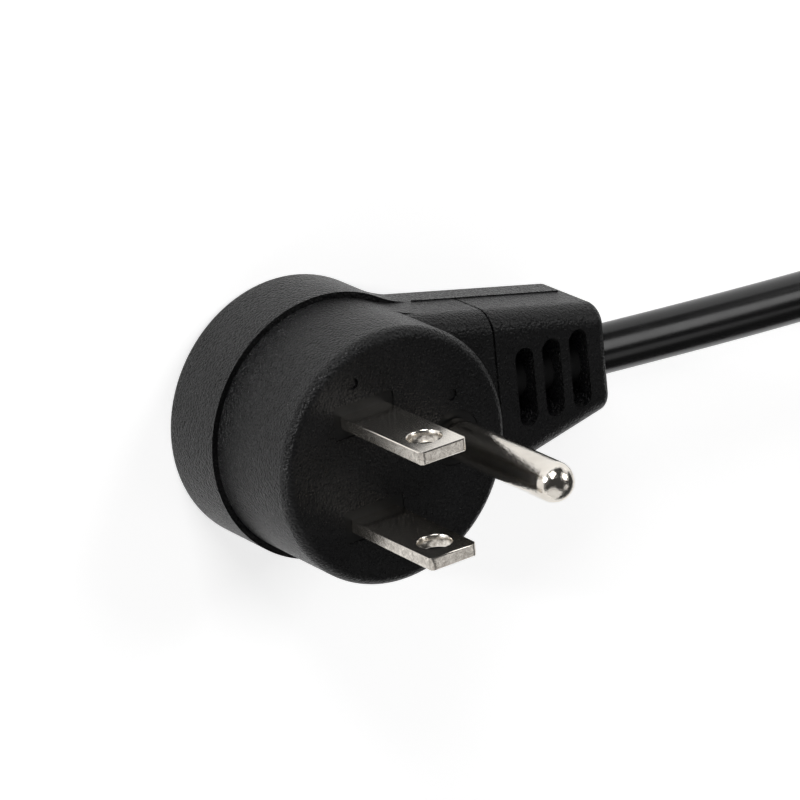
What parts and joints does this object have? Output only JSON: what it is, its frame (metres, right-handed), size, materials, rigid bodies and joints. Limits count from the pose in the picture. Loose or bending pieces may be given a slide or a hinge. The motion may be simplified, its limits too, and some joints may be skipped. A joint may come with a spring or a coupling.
{
  "type": "right angle plug adapter",
  "caption": "Right angle grounded mains plug, black, with flat blades, a round pin and a slotted strain relief, on a short round lead that ends in an inline socket.",
  "frame": {"origin": "middle of the flat back of the plug's flange", "axes": "+Z the way the blades point, +X the way the cord leaves the plug"},
  "size_m": [0.298, 0.032, 0.045],
  "materials": {
    "plug_plastic": "moulded",
    "relief_plastic": "moulded",
    "carrier_plastic": "moulded",
    "socket_plastic": "moulded",
    "cord_jacket": "moulded",
    "line_sleeve": "moulded",
    "neutral_sleeve": "moulded",
    "ground_sleeve": "moulded",
    "plated_metal": "nickel plated",
    "contact_metal": "bright",
    "copper_strands": "bright"
  },
  "bodies": {
    "root": {"plug_body": "plug_plastic", "strain_relief": "relief_plastic", "blade_carrier": "carrier_plastic", "line_blade": "plated_metal", "neutral_blade": "plated_metal", "ground_pin": "plated_metal", "line_wire": "line_sleeve", "neutral_wire": "neutral_sleeve", "ground_wire": "ground_sleeve", "line_copper": "copper_strands", "neutral_copper": "copper_strands", "ground_copper": "copper_strands", "cord": "cord_jacket", "socket_body": "socket_plastic", "line_contact": "contact_metal", "neutral_contact": "contact_metal", "ground_contact": "contact_metal", "socket_line_wire": "line_sleeve", "socket_neutral_wire": "neutral_sleeve", "socket_ground_wire": "ground_sleeve", "socket_line_copper": "copper_strands", "socket_neutral_copper": "copper_strands", "socket_ground_copper": "copper_strands"}
  },
  "joints": []
}
